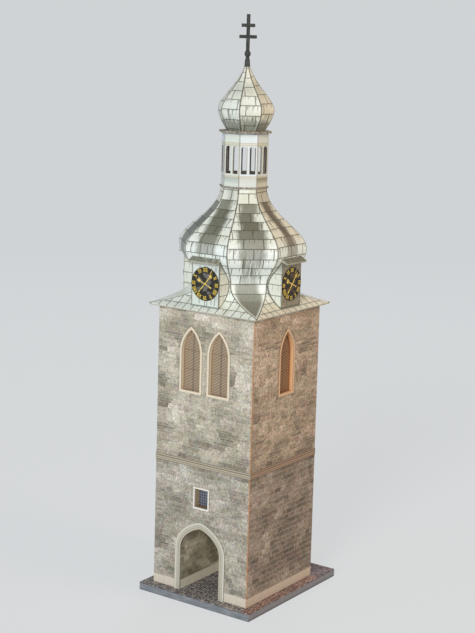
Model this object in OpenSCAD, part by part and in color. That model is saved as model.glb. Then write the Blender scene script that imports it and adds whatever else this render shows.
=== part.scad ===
// Card model of a stone bell tower on a cobbled base board.
// +Z is up, the arched front faces -Y, and the origin is the centre of the board's underside.
// Every side but the plain lower storeys of the left and right repeats the one opposite.

/* [Base board] */
// Width of the base board, left to right
base_w = 70.5; // [69:0.5:90]
// Depth of the base board, front to back
base_d = 81.3; // [75:0.1:110]
// Thickness of the grey board
board_t = 3.7; // [2:0.1:8]
// Thickness of the cobble-printed sheet glued onto it
cobble_t = 0.3; // [0.2:0.1:1]
// Strip of board in front of the tower
front_margin = 5.3; // [4.5:0.1:8]

/* [Tower walls] */
// Width of the square tower
tower_w = 60; // [56:0.5:61]
// Height of the walls above the cobbles
wall_h = 149; // [146:0.5:160]
// Thickness of the wall card
wall_t = 1; // [0.6:0.1:1.5]
// Height of the string course above the cobbles
string_z = 67.2; // [62:0.1:75]
// Height of the string course's band
string_h = 3.3; // [2:0.1:5]
// How far the string course stands proud of the walls
string_proud = 0.2; // [0.1:0.1:1]

/* [Gateway] */
// Clear width of the arched passage
gate_w = 25.1; // [22:0.1:28]
// Height at which the arch springs
gate_spring = 22.5; // [18:0.1:26]
// Radius of the tight curve at each haunch
haunch_r = 10.15; // [5:0.05:12]
// Angle through which the haunch turns before the flatter crown
haunch_angle = 40.7; // [30:0.1:60]
// Radius of the flatter curve that runs up to the point
crown_r = 18.75; // [15:0.05:45]
// Width of the moulded surround
surround_w = 3.35; // [2:0.05:4]
// Thickness of the surround card
surround_t = 0.5; // [0.3:0.1:1]
// Thickness of the passage's lining card
lining_t = 0.8; // [0.5:0.1:1.2]

/* [Small windows] */
// Clear width of the small square window
small_w = 8.4; // [6:0.1:12]
// Clear height of the small window
small_h = 9.8; // [6:0.1:12]
// Height of its centre above the cobbles
small_z = 51.2; // [48:0.1:58]
// Width of its white frame
small_frame = 0.8; // [0.6:0.1:2]
// Depth of its recess behind the wall's face
small_depth = 4; // [2:0.1:6]

/* [Belfry lancets] */
// Clear width of a lancet
lancet_w = 11.8; // [9:0.1:12.5]
// Height of its sill above the cobbles
lancet_sill = 106.6; // [95:0.1:112]
// Height at which its arch springs
lancet_spring = 126.4; // [120:0.1:128]
// Radius of each side of its pointed head
lancet_r = 15.7; // [13:0.1:17]
// Width of its cream surround
lancet_frame = 1.2; // [0.7:0.1:1.6]
// Depth of its reveal
lancet_depth = 2.2; // [1.5:0.1:4]
// Distance of each paired lancet from the middle of the wall
lancet_offset = 8.75; // [8:0.05:12]

/* [Main roof] */
// Width over the square eaves
eaves_w = 68.1; // [64:0.1:68.5]
// Thickness of the roof card
roof_t = 0.5; // [0.4:0.1:0.8]
// Distance of a gore from the axis at the neck
neck_r = 22.4; // [20:0.1:24]
// Height of the neck above the cobbles
neck_z = 162.3; // [159:0.1:164]
// Distance of a gore from the axis at the widest place
belly_r = 31.5; // [31.4:0.1:33]
// Height of the widest place
belly_z = 179.8; // [178:0.1:183]
// Distance of a gore from the axis at the top
dome_top_r = 11.2; // [10:0.1:12]
// Height of the top of the main roof
dome_top_z = 210.5; // [206:0.1:215]

/* [Clocks] */
// Width of a clock box
clock_w = 17.4; // [17.2:0.1:18.4]
// Distance of a clock's face from the tower's axis
clock_r = 31.2; // [31:0.1:31.4]
// Height of the top of a clock box
clock_top = 175.2; // [174.6:0.1:175.8]
// How far the lip of its hood stands out from the face
hood_reach = 3.2; // [1.5:0.1:4]
// Drop of the hood's lip below the top of the box
hood_drop = 1.1; // [0.5:0.1:1.5]
// Height of the lip's edge
hood_lip_h = 0.8; // [0.5:0.1:1.2]
// Rise of the hood's slope above the top of the box
hood_rise = 1.7; // [1.2:0.1:2.2]
// Diameter of a dial
dial_d = 17.2; // [14:0.1:17.2]
// Height of a dial's centre
dial_z = 163.4; // [162:0.1:164]
// Thickness of a dial
dial_t = 0.3; // [0.2:0.1:0.5]
// Thickness of a hand
hand_t = 0.2; // [0.15:0.05:0.3]
// Length of the long hand from the pin
long_hand = 7.5; // [6:0.1:8]
// Length of its tail
long_tail = 5.3; // [3:0.1:6.5]
// Length of the short hand from the pin
short_hand = 5.8; // [4:0.1:6]
// Length of its tail
short_tail = 3.9; // [2:0.1:5]
// Angle of the long hand, clockwise from twelve
long_angle = 40; // [0:1:359]
// Angle of the short hand, clockwise from twelve
short_angle = 294; // [0:1:359]

/* [Lantern] */
// Distance of a lantern wall from the axis
lantern_r = 11.3; // [10.5:0.1:12]
// Thickness of the lantern card
lantern_t = 1; // [0.6:0.1:1.4]
// Thickness of the plate that the lantern stands on
sill_t = 0.8; // [0.5:0.1:1.5]
// Height of the lantern walls
lantern_h = 27.4; // [25:0.1:30]
// How far the bottom plate stands out
sill_out = 0.7; // [0.3:0.1:1.5]
// How far the cornice stands out
cornice_out = 1.6; // [0.8:0.1:2.5]
// Thickness of the cornice
cornice_t = 1; // [0.6:0.1:1.5]
// Clear width of an arched opening
bay_w = 3; // [2:0.1:3.4]
// Distance between the middles of a wall's two openings
bay_gap = 4.4; // [4:0.1:4.6]
// Height of the openings' sill above the bottom plate
bay_sill = 6.6; // [5:0.1:8]
// Height of an opening to the top of its round head
bay_h = 14.3; // [10:0.1:17]

/* [Upper onion, finial and cross] */
// Distance of an onion gore from the axis at its foot
onion_foot_r = 9.3; // [8.5:0.1:10.5]
// Distance at its widest place
onion_belly_r = 13.75; // [12.5:0.05:15]
// Height of its widest place above the cornice
onion_belly_h = 10.9; // [9:0.1:13]
// Distance at its top
onion_top_r = 1.5; // [1.2:0.1:2]
// Height of the onion
onion_h = 32.5; // [29:0.1:36]
// Height of the dark cone on the onion
cone_h = 5.05; // [3:0.05:6]
// Width of the bead on the cone
bead_w = 3.2; // [2.6:0.1:4]
// Height of the bead
bead_h = 4; // [3:0.1:5]
// Side of the square stock of the cross
cross_t = 1.45; // [1:0.05:1.8]
// Length of the cross above the bead
cross_h = 18.2; // [15:0.1:24]
// Length of the lower crossbar
low_bar = 10.2; // [8:0.1:14]
// Length of the upper crossbar
high_bar = 7.7; // [6:0.1:11]

/* [Hidden] */

// The tower's own frame: its axis, and the top of the cobbles
base_t = board_t + cobble_t;
tower_y = front_margin + (tower_w - base_d) / 2;
half_w = tower_w / 2;
split_z = string_z + string_h / 2;

// Thin card used for frames, sleeves, grilles and louvres
trim_t = 0.3;
sleeve_t = 0.5;
panel_t = 0.5;

// Overrun of a cut beyond the card it goes through
past = 1;

// Quarter turns of the four sides
FRONT = 0;
RIGHT = 1;
BACK = 2;
LEFT = 3;

// Height of the eaves, the octagon's half side for an apothem of 1, and half the width of a corner gore's tip
eaves_z = wall_h + 2 * roof_t;
oct = tan(22.5);
tip_half = 0.2;

// Flat steps in each stretch of a curve, and sides of small round parts
ARC_STEPS = 12;
SKIRT_STEPS = 9;
WAIST_STEPS = 10;
SHOULDER_STEPS = 14;
ONION_LOWER_STEPS = 7;
ONION_UPPER_STEPS = 12;
ROUND_SIDES = 48;
DIAL_SIDES = 96;
BEAD_SIDES = 24;

// One point on a cubic curve with end points a and d and handles b and c
function curve_point(a, b, c, d, t) =
    pow(1 - t, 3) * a + 3 * t * pow(1 - t, 2) * b + 3 * t * t * (1 - t) * c + pow(t, 3) * d;

// The same curve as a list of steps points, leaving out its last one
function curve(a, b, c, d, steps) = [for (i = [0:steps - 1]) curve_point(a, b, c, d, i / steps)];

// Main roof's outline as [distance from the axis, height]: flared skirt, neck, belly, top
eaves_at = [eaves_w / 2, eaves_z];
neck_at = [neck_r, neck_z];
belly_at = [belly_r, belly_z];
dome_top_at = [dome_top_r, dome_top_z];
skirt_pull = [-5.8, 2.6];
neck_pull_down = [0, -4.8];
neck_pull_up = [0, 6.2];
belly_pull_down = [0, -7.3];
belly_pull_up = [0.3, 9.7];
dome_top_pull = [0.6, -14];
dome_outline = concat(
    curve(eaves_at, eaves_at + skirt_pull, neck_at + neck_pull_down, neck_at, SKIRT_STEPS),
    curve(neck_at, neck_at + neck_pull_up, belly_at + belly_pull_down, belly_at, WAIST_STEPS),
    curve(belly_at, belly_at + belly_pull_up, dome_top_at + dome_top_pull, dome_top_at, SHOULDER_STEPS),
    [dome_top_at]
);
DOME_LAST = len(dome_outline) - 1;

// Half width of a corner gore: it narrows from the neck to a point at the eaves
function corner_half(p) =
    p[1] >= neck_z
        ? oct * p[0]
        : max(tip_half, oct * p[0] * sin(90 * (p[1] - eaves_z) / (neck_z - eaves_z)));

// Distance of the roof's outside from the axis at a height
function roof_r(z) = lookup(z, [for (p = dome_outline) [p[1], p[0]]]);

// Outline of a corner gore, as [distance from the axis, height]
corner_outline = [for (p = dome_outline) [sqrt(2) * p[0] - corner_half(p), p[1]]];

// Outward unit normal of an outline at point i, as [out, up]
function outline_normal(outline, i) =
    let (
        below = outline[max(i - 1, 0)],
        above = outline[min(i + 1, len(outline) - 1)],
        run = above - below
    )
    [run[1], -run[0]] / norm(run);

// Right-hand seam of the front gore at point i: on the outside, and one card thickness in
function seam_outer(i) =
    let (p = dome_outline[i])
    [p[0] - sqrt(2) * corner_half(p), -p[0], p[1]];
function seam_inner(i) =
    let (
        n = outline_normal(dome_outline, i),
        m = outline_normal(corner_outline, i),
        front = [0, -n[0], n[1]],
        corner = [m[0] / sqrt(2), -m[0] / sqrt(2), m[1]]
    )
    seam_outer(i) - roof_t * (front + corner) / (1 + front * corner);

// Reflections that give a gore's other seam
function across_front(p) = [-p[0], p[1], p[2]];
function across_corner(p) = [-p[1], -p[0], p[2]];

// Closed skin over a stack of four-sided rings
function ring_faces(last) = concat(
    [[0, 1, 2, 3]],
    [for (i = [0:last - 1], j = [0:3])
        [4 * i + j, 4 * (i + 1) + j, 4 * (i + 1) + (j + 1) % 4, 4 * i + (j + 1) % 4]],
    [[4 * last + 3, 4 * last + 2, 4 * last + 1, 4 * last]]
);

// Gateway outline: haunches and crown curves about fixed centres, so that growing it keeps it parallel
gate_haunch = [gate_w / 2 - haunch_r, gate_spring];
gate_crown = gate_haunch - (crown_r - haunch_r) * [cos(haunch_angle), sin(haunch_angle)];
function gate_side(grow) =
    let (apex = acos(-gate_crown[0] / (crown_r + grow)))
    concat(
        [for (i = [0:ARC_STEPS - 1])
            let (a = haunch_angle * i / ARC_STEPS)
            gate_haunch + (haunch_r + grow) * [cos(a), sin(a)]],
        [for (i = [0:ARC_STEPS])
            let (a = haunch_angle + (apex - haunch_angle) * i / ARC_STEPS)
            gate_crown + (crown_r + grow) * [cos(a), sin(a)]]
    );

// Lancet head: two arcs that meet in a point
lancet_centre = [lancet_w / 2 - lancet_r, lancet_spring];
function lancet_side(grow) =
    let (apex = acos(-lancet_centre[0] / (lancet_r + grow)))
    [for (i = [0:ARC_STEPS])
        let (a = apex * i / ARC_STEPS)
        lancet_centre + (lancet_r + grow) * [cos(a), sin(a)]];

// Points of a side, from the middle of its foot, mirrored into a closed outline
function mirrored(side) = concat(side, [for (i = [len(side) - 2:-1:0]) [-side[i][0], side[i][1]]]);

// Onion outline above the cornice, as [distance from the axis, height]
onion_foot = [onion_foot_r, 0];
onion_belly = [onion_belly_r, onion_belly_h];
onion_top = [onion_top_r, onion_h];
onion_foot_pull = [2.1, 3.2];
onion_belly_pull_down = [0, -3.3];
onion_belly_pull_up = [0, 4.9];
onion_top_pull = [2.3, -8.7];
onion_outline = concat(
    curve(onion_foot, onion_foot + onion_foot_pull, onion_belly + onion_belly_pull_down, onion_belly,
        ONION_LOWER_STEPS),
    curve(onion_belly, onion_belly + onion_belly_pull_up, onion_top + onion_top_pull, onion_top,
        ONION_UPPER_STEPS),
    [onion_top]
);

// Heights of what stands on the main roof
lantern_z = dome_top_z + sill_t;
cornice_z = lantern_z + lantern_h;
onion_z = cornice_z + cornice_t;
finial_z = onion_z + onion_h;
cone_top_r = 0.85;
cone_shoulder_r = 1.33;
cone_shoulder_at = 0.62;
bead_on_cone = 0.4;
cross_in_bead = 0.2;
bead_z = finial_z + cone_h + bead_h / 2 - bead_on_cone;
cross_z = bead_z + bead_h / 2 - cross_in_bead;

// Crossbars: their height, and where they sit as shares of the cross's length
bar_h = 1.75;
low_bar_at = 0.325;
high_bar_at = 0.641;

// Section of a clock hood, as [distance from the axis, height]
hood_top_z = clock_top + hood_rise;
hood_section = [
    [roof_r(clock_top), clock_top],
    [clock_r, clock_top],
    [clock_r + hood_reach, clock_top - hood_drop],
    [clock_r + hood_reach, clock_top - hood_drop + hood_lip_h],
    [roof_r(hood_top_z), hood_top_z]
];

// Clock hands: half widths of the stem at its tail and its star, the star's place, and the tail's bead
stem_tail_half = 0.2;
stem_star_half = 0.25;
star_share = 0.71;
star_r = 1.3;
star_step = 45;
star_half = 0.36;
tail_bead_r = 0.42;

// Places children in the tower's frame
module on_tower() {
    translate([0, tower_y, base_t]) children();
}

// Turns children made for the front round to another side
module side(turns) {
    on_tower() rotate([0, 0, 90 * turns]) children();
}

// Stands a drawing up in a plane facing -Y: its back at distance r from the axis, t thick
module facing(r, t) {
    translate([0, -r, 0]) rotate([90, 0, 0]) linear_extrude(t) children();
}

// The same for a cut that goes right through a wall of the tower
module through_wall() {
    facing(half_w - wall_t - past, wall_t + 2 * past) children();
}

// Octagonal prism with flats facing the four sides, r from the axis to each flat
module octagon(r, h) {
    rotate([0, 0, 22.5]) cylinder(r = r / cos(22.5), h = h, $fn = 8);
}

// Gateway outline grown by a margin
module gate_shape(grow) {
    half = gate_w / 2 + grow;
    polygon(mirrored(concat([[half, 0]], gate_side(grow))));
}

// Strip that carries a gateway cut down past the wall's foot
module gate_foot() {
    translate([0, -past / 2]) square([gate_w, past], center = true);
}

// Lancet outline grown by a margin
module lancet_shape(grow) {
    half = lancet_w / 2 + grow;
    polygon(mirrored(concat([[half, lancet_sill - grow]], lancet_side(grow))));
}

// Small window outline grown by a margin
module small_shape(grow) {
    translate([0, small_z]) square([small_w + 2 * grow, small_h + 2 * grow], center = true);
}

// Plain wall card with mitred ends, between two heights
module wall_card(z0, z1) {
    inner = half_w - wall_t;
    translate([0, 0, z0]) linear_extrude(z1 - z0)
        polygon([[-half_w, -half_w], [half_w, -half_w], [inner, -inner], [-inner, -inner]]);
}

// Lower wall with the gateway and the small window
module gate_wall() {
    color("tan") difference() {
        wall_card(0, split_z);
        through_wall() {
            gate_foot();
            gate_shape(0);
            small_shape(sleeve_t);
        }
    }
}

// Plain lower wall of the left and right sides
module plain_wall() {
    color("tan") wall_card(0, split_z);
}

// Upper wall with lancets cut at the given places
module belfry_wall(places) {
    color("tan") difference() {
        wall_card(split_z, wall_h);
        for (x = places) translate([x, 0, 0]) through_wall() lancet_shape(sleeve_t);
    }
}

// One lancet's surround and reveal
module lancet_frame_at(x) {
    translate([x, 0, 0]) {
        facing(half_w, trim_t) difference() {
            lancet_shape(lancet_frame);
            lancet_shape(0);
        }
        facing(half_w - lancet_depth, lancet_depth) difference() {
            lancet_shape(sleeve_t);
            lancet_shape(0);
        }
    }
}

// One louvre panel behind its reveal
module louvre_at(x) {
    translate([x, 0, 0]) facing(half_w - lancet_depth - panel_t, panel_t) lancet_shape(sleeve_t);
}

// Roof gore that faces a side
module side_gore(turns) {
    points = [for (i = [0:DOME_LAST])
        each [across_front(seam_outer(i)), seam_outer(i), seam_inner(i), across_front(seam_inner(i))]];
    color("honeydew") side(turns) polyhedron(points, ring_faces(DOME_LAST));
}

// Roof gore on the corner to the right of a side
module corner_gore(turns) {
    points = [for (i = [0:DOME_LAST])
        each [seam_outer(i), across_corner(seam_outer(i)), across_corner(seam_inner(i)), seam_inner(i)]];
    color("honeydew") side(turns) polyhedron(points, ring_faces(DOME_LAST));
}

// Folded clock box: a face and two cheeks cut to the curve of the roof
module clock_box(turns) {
    color("mintcream") side(turns) difference() {
        rotate([90, 0, -90]) linear_extrude(clock_w, center = true) difference() {
            translate([neck_r, eaves_z]) square([clock_r - neck_r, clock_top - eaves_z]);
            polygon(concat([[0, eaves_z]], dome_outline, [[0, dome_top_z]]));
        }
        translate([-clock_w / 2 + panel_t, panel_t - clock_r, eaves_z - past])
            cube([clock_w - 2 * panel_t, clock_r, clock_top - eaves_z + 2 * past]);
    }
}

// Small sloping hood over a clock, as wide as its box
module clock_hood() {
    rotate([90, 0, -90]) linear_extrude(clock_w, center = true) polygon(hood_section);
}

// Clock hand: a stem with an eight-pointed star near its point and a bead on its tail
module hand(length, tail, angle) {
    star_at = star_share * length;
    rotate(-angle) {
        polygon([
            [-stem_tail_half, -tail], [stem_tail_half, -tail],
            [stem_star_half, star_at], [0, length], [-stem_star_half, star_at]
        ]);
        translate([0, -tail]) circle(r = tail_bead_r, $fn = BEAD_SIDES);
        translate([0, star_at]) for (turn = [0:star_step:180 - star_step]) rotate(turn)
            polygon([[0, -star_r], [star_half, 0], [0, star_r], [-star_half, 0]]);
    }
}

// Arched opening of the lantern, drawn upright
module bay_shape() {
    translate([-bay_w / 2, bay_sill]) square([bay_w, bay_h - bay_w / 2]);
    translate([0, bay_sill + bay_h - bay_w / 2]) circle(d = bay_w, $fn = ROUND_SIDES);
}

module base_board() {
    color("slategray") translate([-base_w / 2, -base_d / 2, 0]) cube([base_w, base_d, board_t]);
}

module cobbled_sheet() {
    color("dimgray") translate([-base_w / 2, -base_d / 2, board_t]) cube([base_w, base_d, cobble_t]);
}

module front_lower_wall() {
    side(FRONT) gate_wall();
}

module right_lower_wall() {
    side(RIGHT) plain_wall();
}

module back_lower_wall() {
    side(BACK) gate_wall();
}

module left_lower_wall() {
    side(LEFT) plain_wall();
}

module front_upper_wall() {
    side(FRONT) belfry_wall([-lancet_offset, lancet_offset]);
}

module right_upper_wall() {
    side(RIGHT) belfry_wall([0]);
}

module back_upper_wall() {
    side(BACK) belfry_wall([-lancet_offset, lancet_offset]);
}

module left_upper_wall() {
    side(LEFT) belfry_wall([0]);
}

// Band folded round the tower over the joint between the lower and upper walls
module string_course() {
    outer = tower_w + 2 * string_proud;
    color("wheat") on_tower() translate([0, 0, string_z]) linear_extrude(string_h) difference() {
        square(outer, center = true);
        square(tower_w, center = true);
    }
}

module arch_surround() {
    color("antiquewhite") facing(half_w, surround_t) difference() {
        gate_shape(surround_w);
        gate_shape(0);
        gate_foot();
    }
}

module front_arch_surround() {
    side(FRONT) arch_surround();
}

module back_arch_surround() {
    side(BACK) arch_surround();
}

// Straight part of the passage lining, on the side given by s
module passage_wall(s) {
    length = tower_w - 2 * wall_t;
    middle = (gate_w + lining_t) / 2;
    color("darkkhaki") on_tower() translate([s * middle - lining_t / 2, -length / 2, 0])
        cube([lining_t, length, gate_spring]);
}

module passage_left_wall() {
    passage_wall(-1);
}

module passage_right_wall() {
    passage_wall(1);
}

module passage_vault() {
    length = tower_w - 2 * wall_t;
    color("darkkhaki") on_tower() facing(-length / 2, length) difference() {
        polygon(mirrored(gate_side(lining_t)));
        polygon(mirrored(gate_side(0)));
    }
}

// White frames and deep sleeves of the two small windows
module small_window_frames() {
    color("white") for (turns = [FRONT, BACK]) side(turns) {
        facing(half_w, trim_t) difference() {
            small_shape(small_frame);
            small_shape(0);
        }
        facing(half_w - small_depth, small_depth) difference() {
            small_shape(sleeve_t);
            small_shape(0);
        }
    }
}

module small_window_grilles() {
    color("darkslateblue") for (turns = [FRONT, BACK])
        side(turns) facing(half_w - small_depth - panel_t, panel_t) small_shape(sleeve_t);
}

// Cream surrounds and reveals of the six belfry lancets
module lancet_frames() {
    color("cornsilk") {
        for (turns = [FRONT, BACK], x = [-lancet_offset, lancet_offset]) side(turns) lancet_frame_at(x);
        for (turns = [RIGHT, LEFT]) side(turns) lancet_frame_at(0);
    }
}

module louvre_panels() {
    color("saddlebrown") {
        for (turns = [FRONT, BACK], x = [-lancet_offset, lancet_offset]) side(turns) louvre_at(x);
        for (turns = [RIGHT, LEFT]) side(turns) louvre_at(0);
    }
}

// Flat card that closes the tower and carries the roof
module roof_deck() {
    width = eaves_w - 2 * roof_t;
    color("gainsboro") on_tower() translate([-width / 2, -width / 2, wall_h]) cube([width, width, roof_t]);
}

module clock_hoods() {
    color("darkseagreen") for (turns = [0:3]) side(turns) clock_hood();
}

module clock_dials() {
    color("black") for (turns = [0:3])
        side(turns) translate([0, 0, dial_z]) facing(clock_r, dial_t) circle(d = dial_d, $fn = DIAL_SIDES);
}

module hour_hands() {
    color("gold") for (turns = [0:3])
        side(turns) translate([0, 0, dial_z]) facing(clock_r + dial_t, hand_t)
            hand(short_hand, short_tail, short_angle);
}

module minute_hands() {
    color("gold") for (turns = [0:3])
        side(turns) translate([0, 0, dial_z]) facing(clock_r + dial_t + hand_t, hand_t)
            hand(long_hand, long_tail, long_angle);
}

module lantern_sill() {
    color("gray") on_tower() translate([0, 0, dome_top_z]) octagon(lantern_r + sill_out, sill_t);
}

// Eight-sided lantern with two arched openings in each wall
module lantern_walls() {
    color("ivory") on_tower() translate([0, 0, lantern_z]) difference() {
        octagon(lantern_r, lantern_h);
        translate([0, 0, -past]) octagon(lantern_r - lantern_t, lantern_h + 2 * past);
        for (turn = [0:45:315], x = [-bay_gap / 2, bay_gap / 2])
            rotate([0, 0, turn]) translate([x, 0, 0])
                facing(lantern_r - lantern_t - past, lantern_t + 2 * past) bay_shape();
    }
}

module lantern_cornice() {
    color("gray") on_tower() translate([0, 0, cornice_z]) octagon(lantern_r + cornice_out, cornice_t);
}

// Eight-gored onion, as a shell open at its foot
module upper_onion() {
    last = len(onion_outline) - 1;
    corners = [for (k = [0:7]) [cos(45 * k + 22.5), sin(45 * k + 22.5)] / cos(22.5)];
    outer = [for (p = onion_outline, c = corners) [p[0] * c[0], p[0] * c[1], p[1]]];
    inner = [for (i = [0:last], c = corners)
        let (
            n = outline_normal(onion_outline, i),
            p = onion_outline[i] - roof_t * n,
            z = i == 0 ? 0 : p[1]
        )
        [p[0] * c[0], p[0] * c[1], z]];
    first_inner = len(outer);
    skin = [for (i = [0:last - 1], k = [0:7])
        [8 * i + k, 8 * (i + 1) + k, 8 * (i + 1) + (k + 1) % 8, 8 * i + (k + 1) % 8]];
    lining = [for (f = skin) [for (j = [3:-1:0]) f[j] + first_inner]];
    foot = [for (k = [0:7]) [k, (k + 1) % 8, (k + 1) % 8 + first_inner, k + first_inner]];
    caps = [
        [for (k = [7:-1:0]) 8 * last + k],
        [for (k = [0:7]) first_inner + 8 * last + k]
    ];
    color("honeydew") on_tower() translate([0, 0, onion_z])
        polyhedron(concat(outer, inner), concat(skin, lining, foot, caps));
}

// Dark cone with a bead on it
module finial() {
    color("darkslategray") on_tower() {
        translate([0, 0, finial_z]) rotate_extrude($fn = ROUND_SIDES)
            polygon([
                [0, 0], [onion_top_r, 0], [cone_shoulder_r, cone_shoulder_at * cone_h],
                [cone_top_r, cone_h], [0, cone_h]
            ]);
        translate([0, 0, bead_z]) rotate_extrude($fn = ROUND_SIDES)
            polygon([for (a = [-90:15:90]) [bead_w / 2 * cos(a), bead_h / 2 * sin(a)]]);
    }
}

// Patriarchal cross of square stock, facing the front
module cross() {
    color("darkslategray") on_tower() translate([0, 0, cross_z]) {
        translate([-cross_t / 2, -cross_t / 2, 0]) cube([cross_t, cross_t, cross_h]);
        translate([-low_bar / 2, -cross_t / 2, low_bar_at * cross_h]) cube([low_bar, cross_t, bar_h]);
        translate([-high_bar / 2, -cross_t / 2, high_bar_at * cross_h]) cube([high_bar, cross_t, bar_h]);
    }
}

base_board();
cobbled_sheet();
front_lower_wall();
right_lower_wall();
back_lower_wall();
left_lower_wall();
front_upper_wall();
right_upper_wall();
back_upper_wall();
left_upper_wall();
string_course();
front_arch_surround();
back_arch_surround();
passage_left_wall();
passage_right_wall();
passage_vault();
small_window_frames();
small_window_grilles();
lancet_frames();
louvre_panels();
roof_deck();
side_gore(FRONT);  // front_gore
corner_gore(FRONT);  // front_right_gore
side_gore(RIGHT);  // right_gore
corner_gore(RIGHT);  // back_right_gore
side_gore(BACK);  // back_gore
corner_gore(BACK);  // back_left_gore
side_gore(LEFT);  // left_gore
corner_gore(LEFT);  // front_left_gore
clock_box(FRONT);  // front_clock_box
clock_box(RIGHT);  // right_clock_box
clock_box(BACK);  // back_clock_box
clock_box(LEFT);  // left_clock_box
clock_hoods();
clock_dials();
hour_hands();
minute_hands();
lantern_sill();
lantern_walls();
lantern_cornice();
upper_onion();
finial();
cross();
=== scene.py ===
"""Looks of the card model of a bell tower: printed card, painted metal, light and camera.

Lengths are millimetres from the tower's axis and the top of the cobbles, except in the stage and the camera.
Colours are given as they show on a screen, 0 to 255.
"""

from math import cos, pi, radians, sin, sqrt, tan
from functools import partialmethod

import bpy
from mathutils import Matrix, Vector


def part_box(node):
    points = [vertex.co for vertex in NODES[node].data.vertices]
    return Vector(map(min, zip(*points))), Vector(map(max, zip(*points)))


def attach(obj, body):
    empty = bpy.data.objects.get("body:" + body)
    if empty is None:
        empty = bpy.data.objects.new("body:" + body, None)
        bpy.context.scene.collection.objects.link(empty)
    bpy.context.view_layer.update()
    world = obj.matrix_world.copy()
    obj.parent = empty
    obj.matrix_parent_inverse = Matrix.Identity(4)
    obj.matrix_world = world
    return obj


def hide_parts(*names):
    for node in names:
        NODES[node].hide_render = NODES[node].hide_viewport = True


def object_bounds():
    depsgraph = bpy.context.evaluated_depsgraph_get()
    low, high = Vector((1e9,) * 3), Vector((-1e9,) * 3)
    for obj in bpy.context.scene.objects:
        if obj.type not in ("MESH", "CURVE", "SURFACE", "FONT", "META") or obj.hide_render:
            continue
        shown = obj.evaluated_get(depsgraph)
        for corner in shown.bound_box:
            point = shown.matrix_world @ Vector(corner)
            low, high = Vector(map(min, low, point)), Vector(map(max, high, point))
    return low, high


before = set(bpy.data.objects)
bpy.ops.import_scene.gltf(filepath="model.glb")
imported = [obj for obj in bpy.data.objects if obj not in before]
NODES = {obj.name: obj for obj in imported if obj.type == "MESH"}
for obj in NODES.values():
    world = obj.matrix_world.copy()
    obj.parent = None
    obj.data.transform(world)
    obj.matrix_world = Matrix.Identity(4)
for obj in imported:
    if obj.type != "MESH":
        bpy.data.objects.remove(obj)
CAD_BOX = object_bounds()
SCENE = bpy.context.scene

MM = 0.001
BAND_LOW, BAND_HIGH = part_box("string_course")
GROUND_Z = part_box("cobbled_sheet")[1].z / MM
AXIS_Y = (BAND_LOW.y + BAND_HIGH.y) / 2 / MM
STRING_LOW = BAND_LOW.z / MM - GROUND_Z
STRING_HIGH = BAND_HIGH.z / MM - GROUND_Z
HALF_WALL = 30
SIDES = ("front", "right", "back", "left")


def linear(colour):
    """A colour of 0 to 255 as a shader's linear one."""
    shares = [c / 255 for c in colour]
    return (*[c / 12.92 if c <= 0.04045 else ((c + 0.055) / 1.055) ** 2.4 for c in shares], 1)


# ---- node trees


class Num:
    """A number that varies over a surface. Arithmetic adds nodes."""

    def __init__(self, tree, socket):
        self.tree = tree
        self.socket = socket

    def op(self, operation, *others, clamp=False):
        return self.tree.math(operation, self, *others, clamp=clamp)

    __add__ = partialmethod(op, "ADD")
    __sub__ = partialmethod(op, "SUBTRACT")
    __mul__ = partialmethod(op, "MULTIPLY")
    __truediv__ = partialmethod(op, "DIVIDE")
    abs = partialmethod(op, "ABSOLUTE")
    floor = partialmethod(op, "FLOOR")
    fract = partialmethod(op, "FRACT")
    least = partialmethod(op, "MINIMUM")
    most = partialmethod(op, "MAXIMUM")
    clamped = partialmethod(op, "ADD", 0, clamp=True)

    def __rsub__(self, other):
        return self.tree.math("SUBTRACT", other, self)

    def flipped(self):
        """One minus the number."""
        return 1 - self

    def off_half(self):
        """How far the number's fraction is from a half."""
        return (self.fract() - 0.5).abs()

    def rise(self, low, high):
        """Smooth step from 0 at low to 1 at high."""
        inputs = {"Value": self, "From Min": low, "From Max": high}
        made = self.tree.node("MapRange", inputs, interpolation_type="SMOOTHSTEP")
        return Num(self.tree, made.outputs["Result"])

    def inside(self, low, high, soft):
        """1 between low and high, with soft edges."""
        return self.rise(low - soft, low + soft) * self.rise(high + soft, high - soft)


def length(x, y):
    """Length of the flat vector (x, y)."""
    return (x * x + y * y).op("SQRT")


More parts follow.
